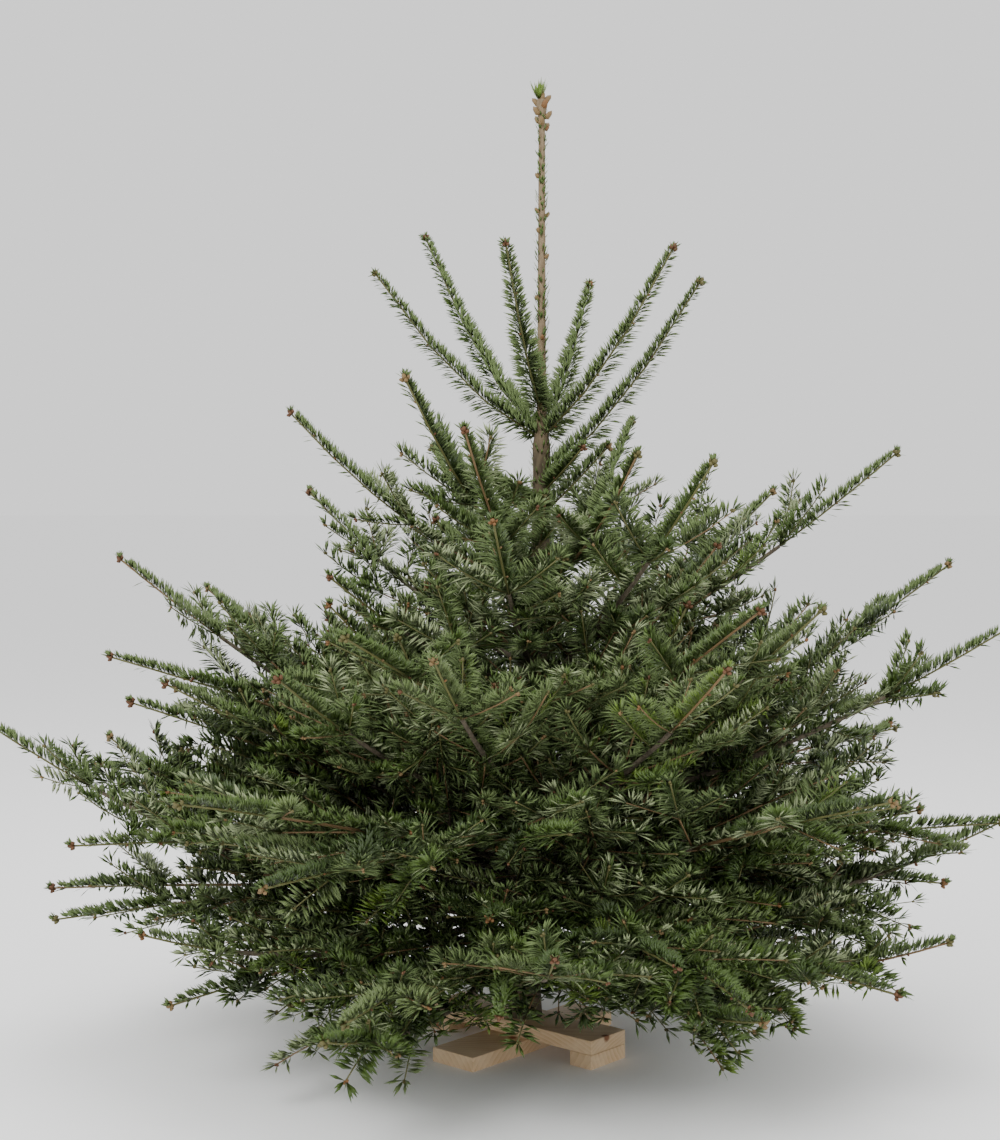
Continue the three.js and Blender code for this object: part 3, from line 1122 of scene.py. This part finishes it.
# %% [markdown]
# ## Bark
# Young fir bark is smooth and grey-brown, with fine cracks that run up the stem and small raised
# spots of resin. A bump map alone would leave the outline as smooth as a pipe, so the cracks and
# spots are real relief, pushed out of the mesh, and the material adds the colour. The leading shoot
# is this year's growth and has a tan skin of its own.

# %% The bark material
BARK_STRETCH, SKIN_STRETCH = (1, 1, 0.16), (1, 1, 0.3)  # patterns drawn out along the stem
SKIN_FROM, SKIN_TO = LEADER_FOOT - 0.05, LEADER_FOOT + 0.02  # heights where bark gives way to it


def bark_material(name, dark, light, skin=None):
    """Mottled bark. With a skin, a dark and a light colour, it turns to it up the leading shoot."""
    material = plain_material(name, light, 0.85, 0.3)
    tree = material.node_tree
    shader = tree.nodes["Principled BSDF"]
    streaks = add_mottle(tree, mapped(tree, BARK_STRETCH), 210, 0.22, dark, light)
    colour = streaks["Color"]
    if skin:
        young = add_mottle(tree, mapped(tree, SKIN_STRETCH), 260, 0.3, *skin)
        height = add_node(tree, "SeparateXYZ")
        change = add_node(tree, "MapRange", {"From Min": SKIN_FROM, "From Max": SKIN_TO})
        link_all(tree, (mapped(tree), height.inputs[0]), (height.outputs["Z"], change.inputs["Value"]))
        colour = mixed(tree, change.outputs["Result"], colour, young["Color"])
    tree.links.new(colour, shader.inputs["Base Color"])
    tree.links.new(bump(tree, streaks["Height"], 0.5, 0.0006), shader.inputs["Normal"])
    return material


leader_skin = ((0.105, 0.076, 0.042), (0.26, 0.195, 0.12))
bark = bark_material("bark", (0.03, 0.023, 0.013), (0.13, 0.1, 0.06), leader_skin)
limb_bark = bark_material("limb_bark", (0.045, 0.036, 0.025), (0.16, 0.13, 0.09))
print("bark turns to skin from", round(SKIN_FROM, 3), "to", round(SKIN_TO, 3), "m up")


# %% The bark's relief
CRACKS, LUMPS, SPOTS = (260, 22), (60, 34), (190, 170)  # how fine, round the stem and up it
CRACK_DEPTH, LUMP_DEPTH, SPOT_HEIGHT = 0.0006, 0.0007, 0.0022  # metres
SPOT_FROM = 0.42  # only the noise's peaks above this are spots
SPOT_SHIFT = 7  # keeps the spots' noise from following the cracks'


def stretched_noise(co, fineness, shift=0):
    about, up = fineness
    return noise.noise(Vector((co.x * about + shift, co.y * about, co.z * up)))


def bark_relief(co):
    """Long shallow cracks, lumps, and small resin spots, in metres out from the surface."""
    crack = CRACK_DEPTH * stretched_noise(co, CRACKS)
    lump = LUMP_DEPTH * stretched_noise(co, LUMPS)
    spot = SPOT_HEIGHT * max(0.0, stretched_noise(co, SPOTS, SPOT_SHIFT) - SPOT_FROM)
    return crack + lump + spot


def push_out(mesh, amount):
    """Moves each point along its normal by amount(point)."""
    normals = [vertex.normal.copy() for vertex in mesh.vertices]
    for vertex, normal in zip(mesh.vertices, normals):
        vertex.co += normal * amount(vertex.co)
    mesh.update()


def finish_piece(piece, name, material):
    """Names a modelled piece, gives it its finish, and tells how many triangles it has."""
    piece.name = name
    piece.data.name = name
    piece.data.materials.clear()
    piece.data.materials.append(material)
    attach(piece, "root")
    return sum(len(polygon.vertices) - 2 for polygon in piece.data.polygons)


print("relief on the trunk's middle line at 0.5 m:", round(bark_relief(Vector(trunk_at(0.5))), 5), "m")

# %% [markdown]
# ## The trunk
# The trunk tapers by yearly steps, flares at its foot and leans a little. A cone would miss all of
# that, and a curve with a bevel can't end in a flat saw cut. So it is drawn up from a disc, ring by
# ring, with each ring moved, widened or narrowed to the frame's profile, as a turner works along a
# blank. The rings lie close together, so the bark's relief can then be pushed out of them.

# %% Trunk
TRUNK_SIDES = 40
TRUNK_STEP = 0.009  # metres between rings


def trunk_stations():
    """Heights for the trunk's rings, evenly spaced from the flat cut to the end bud."""
    low = trunk_heights[0]
    return np.linspace(low, STEM_TOP, int((STEM_TOP - low) / TRUNK_STEP))


def model_trunk():
    stations = trunk_stations()
    radius = trunk_radius(stations[0])
    nothing_selected()
    bpy.ops.mesh.primitive_circle_add(
        vertices=TRUNK_SIDES, radius=radius, fill_type="NGON", location=trunk_at(stations[0])
    )
    trunk = bpy.context.object
    bpy.ops.object.transform_apply(location=True)
    bpy.ops.object.mode_set(mode="EDIT")
    bpy.ops.mesh.select_all(action="SELECT")
    for z in stations[1:]:
        step = trunk_at(z) - trunk_at(z - (stations[1] - stations[0]))
        bpy.ops.mesh.extrude_region_move(TRANSFORM_OT_translate={"value": step})
        wider = trunk_radius(z) / radius
        bpy.ops.transform.resize(value=(wider, wider, 1), center_override=trunk_at(z))
        radius = trunk_radius(z)
    bpy.ops.mesh.select_all(action="SELECT")
    bpy.ops.mesh.normals_make_consistent(inside=False)
    bpy.ops.object.mode_set(mode="OBJECT")
    thin = trunk_radius(LEADER_FOOT + 0.1) / trunk_radii[0]
    push_out(trunk.data, lambda co: bark_relief(co) * max(thin, trunk_radius(co.z) / trunk_radii[0]))
    bpy.ops.object.shade_smooth_by_angle(angle=math.radians(40))
    print("trunk_bark has", finish_piece(trunk, "trunk_bark", bark), "triangles")
    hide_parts("trunk")


model_trunk()

# %% [markdown]
# ## The limbs
# The main axis of an older bough is a limb. It bends all the way, and its two ends are hidden in the
# trunk and in a shoot. So no rings are set by hand: it is drawn as a curve through the bough's line
# with a tapering thickness, then turned into a mesh, so its bark can have relief too.

# %% Limbs
LIMB_POINTS = 36
LIMB_START = 0.012  # where a limb begins, as a share of its bough
LIMB_ROUNDNESS = 4  # the curve's own measure of its sides
LIMB_TIP, LIMB_FOOT, LIMB_YEARLY = 0.0018, 0.0024, 0.00105  # radii, and what a year adds to the foot


def limb_radius(bough, t):
    """A limb is thickest at its foot, and older boughs are thicker. t is 1 at the bough's tip."""
    foot = LIMB_FOOT + LIMB_YEARLY * bough["age"]
    return foot + (LIMB_TIP - foot) * t**0.8


def model_limb(bough):
    """Draws the limb and gives its count of triangles."""
    end = ((bough["age"] - 1) / bough["age"]) ** JOINT_POWER
    nothing_selected()
    bpy.ops.curve.primitive_nurbs_path_add(location=(0, 0, 0))
    curve = bpy.context.object.data
    curve.splines.clear()
    spline = curve.splines.new("POLY")
    spline.points.add(LIMB_POINTS - 1)
    for point, t in zip(spline.points, np.linspace(LIMB_START, end, LIMB_POINTS)):
        point.co = (*bough_point(bough, t), 1)
        point.radius = limb_radius(bough, t)
    curve.bevel_depth = 1
    curve.bevel_resolution = LIMB_ROUNDNESS
    curve.use_fill_caps = True
    bpy.ops.object.convert(target="MESH")
    limb = bpy.context.object
    bpy.ops.object.mode_set(mode="EDIT")
    bpy.ops.mesh.select_all(action="SELECT")
    bpy.ops.mesh.remove_doubles(threshold=0.00001)
    bpy.ops.mesh.normals_make_consistent(inside=False)
    bpy.ops.object.mode_set(mode="OBJECT")
    push_out(limb.data, lambda co: 0.45 * bark_relief(co * 1.5))
    bpy.ops.object.shade_smooth_by_angle(angle=math.radians(50))
    triangles = finish_piece(limb, bough["node"].replace("foliage", "limb"), limb_bark)
    own = bough["node"].replace("foliage", "bough")
    if own in nodes:
        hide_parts(own)
    return triangles


limbed = [b for b in boughs if b["age"] >= LIMB_FROM_AGE]
limb_triangles = sum(model_limb(b) for b in limbed)
print("limbs:", len(limbed), "with", limb_triangles, "triangles in all")

# %% [markdown]
# ## The stand
# Two planed softwood boards lie across each other, and a short block under each end of the upper
# one brings it level. A plain box would have edges like a razor, so a board is a box with its edges
# eased by a narrow bevel. Its grain runs along its length and shows as arcs on the sawn ends. Flat
# stripes on each face wouldn't meet at the corners, so the pattern is a set of thin nested tubes,
# cut by the board's faces: the same growth rings make both.

# %% The grain group
GRAIN_INPUTS = (
    ("Vector", "NodeSocketVector", None),
    ("Rings", "NodeSocketFloat", 60.0),
    ("Early", "NodeSocketColor", None),
    ("Late", "NodeSocketColor", None),
)


def build_grain():
    """Growth rings round an axis along X."""
    group, given, result = make_group("grain", GRAIN_INPUTS)
    wobble = {"Distortion": 2.2, "Detail": 3, "Detail Scale": 0.7}
    shape = {"wave_type": "RINGS", "rings_direction": "X", "wave_profile": "SAW"}
    rings = add_node(group, "TexWave", wobble, **shape)
    link_all(
        group,
        (given["Vector"], rings.inputs["Vector"]),
        (given["Rings"], rings.inputs["Scale"]),
        (mixed(group, rings.outputs["Fac"], given["Early"], given["Late"]), result["Color"]),
        (rings.outputs["Fac"], result["Height"]),
    )
    return group


grain = build_grain()
print("the grain group has", len(grain.nodes), "nodes")


# %% The softwood material
RING_COUNT = 62  # growth rings, by the wave's own measure
EARLY_WOOD, LATE_WOOD = (0.78, 0.57, 0.35, 1), (0.58, 0.37, 0.185, 1)
SOIL_DARK, SOIL_LIGHT = (0.62, 0.44, 0.27), (0.84, 0.67, 0.46)
KNOT_DARK, KNOT_LIGHT = (0.12, 0.035, 0.015), (0.36, 0.15, 0.07)
KNOT_INNER, KNOT_OUTER = 0.0045, 0.0085  # metres; the knot's colour fades out between these


def board_material(name, turn, place, knot):
    """Pale softwood with its rings along the board, mottled, with a dark knot."""
    material = plain_material(name, (0.62, 0.42, 0.23), 0.62, 0.3)
    tree = material.node_tree
    shader = tree.nodes["Principled BSDF"]
    values = {"Rings": RING_COUNT, "Early": EARLY_WOOD, "Late": LATE_WOOD}
    lines = add_node(tree, "Group", values, node_tree=grain)
    tree.links.new(mapped(tree, (0.12, 1, 1), turn, place), lines.inputs["Vector"])
    soil = add_mottle(tree, mapped(tree, (0.25, 1, 1), turn, place), 34, 0.3, SOIL_DARK, SOIL_LIGHT)
    colour = mixed(tree, soil["Height"], lines.outputs["Color"], soil["Color"])
    near = add_node(tree, "VectorMath", {1: knot}, operation="DISTANCE")
    fade = {"From Min": KNOT_INNER, "From Max": KNOT_OUTER, "To Min": 1, "To Max": 0}
    ring = add_node(tree, "MapRange", fade)
    link_all(tree, (mapped(tree), near.inputs[0]), (near.outputs["Value"], ring.inputs["Value"]))
    heart = add_mottle(tree, mapped(tree), 160, 0.3, KNOT_DARK, KNOT_LIGHT)
    colour = mixed(tree, ring.outputs["Result"], colour, heart["Color"])
    tree.links.new(colour, shader.inputs["Base Color"])
    tree.links.new(bump(tree, lines.outputs["Height"], 0.25, 0.0003), shader.inputs["Normal"])
    return material


print("a knot is", KNOT_OUTER * 2000, "mm across")


# %% How the boards lie
CORNER_DIGITS = 5  # corners are told apart to a hundredth of a millimetre


def corners_of(points):
    return np.unique(np.round(points, CORNER_DIGITS), axis=0)


def board_turn(node):
    """The direction of a board's long side: from its far right corner to the third nearest."""
    points = points_of(node)[:, :2]
    far = points[np.argmax(points[:, 0] + points[:, 1] * 1e-3)]
    nearest = sorted(corners_of(points), key=lambda p: np.hypot(*(p - far)))
    side = nearest[2] - far
    return math.atan2(side[1], side[0])


LOWER_TURN = board_turn("stand_lower_board")
UPPER_TURN = board_turn("stand_upper_board")
print("boards lie at", round(math.degrees(LOWER_TURN), 1), "and", round(math.degrees(UPPER_TURN), 1))


# %% Boards and foot blocks
BOARD_EASE = 0.0012  # bevel on a board's edges
BOARDS = {  # direction, place in the grain, and the knot's place in shares of the board's half size
    "stand_lower_board": (LOWER_TURN, (0, 0.012, 0.03), (0.3, 0.4, 1)),
    "stand_upper_board": (UPPER_TURN, (0.1, -0.02, 0.05), (-0.99, 0.1, 0.85)),
    "stand_foot_front": (UPPER_TURN, (0.3, 0.03, -0.04), (0, -1, 0.2)),
    "stand_foot_back": (UPPER_TURN, (0.5, -0.03, 0.045), (0.2, 1, 0)),
}


def model_board(node, along_turn, grain_place, knot_share):
    """A board with eased edges in the place of the frame's plain one."""
    points = corners_of(points_of(node))
    middle = (points.max(0) + points.min(0)) / 2
    cosine, sine = math.cos(along_turn), math.sin(along_turn)
    turned_back = np.array([[cosine, -sine, 0], [sine, cosine, 0], [0, 0, 1]])
    size = np.ptp((points - middle) @ turned_back, axis=0)
    nothing_selected()
    bpy.ops.mesh.primitive_cube_add(size=1, location=middle, rotation=(0, 0, along_turn), scale=size)
    board = bpy.context.object
    bpy.ops.object.transform_apply(location=True, rotation=True, scale=True)
    bpy.ops.object.mode_set(mode="EDIT")
    bpy.ops.mesh.select_all(action="SELECT")
    bpy.ops.mesh.bevel(offset=BOARD_EASE, segments=3)
    bpy.ops.mesh.normals_make_consistent(inside=False)
    bpy.ops.object.mode_set(mode="OBJECT")
    bpy.ops.object.shade_smooth_by_angle(angle=math.radians(30))
    name = node.replace("stand", "planed")
    knot = middle + (np.array(knot_share) * size / 2) @ turned_back.T
    material = board_material("softwood_" + name, -along_turn, grain_place, knot)
    print(name, "has", finish_piece(board, name, material), "triangles")
    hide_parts(node)


for node, setting in BOARDS.items():
    model_board(node, *setting)

# %% Sizes and the end
print("frame box", cad_box)
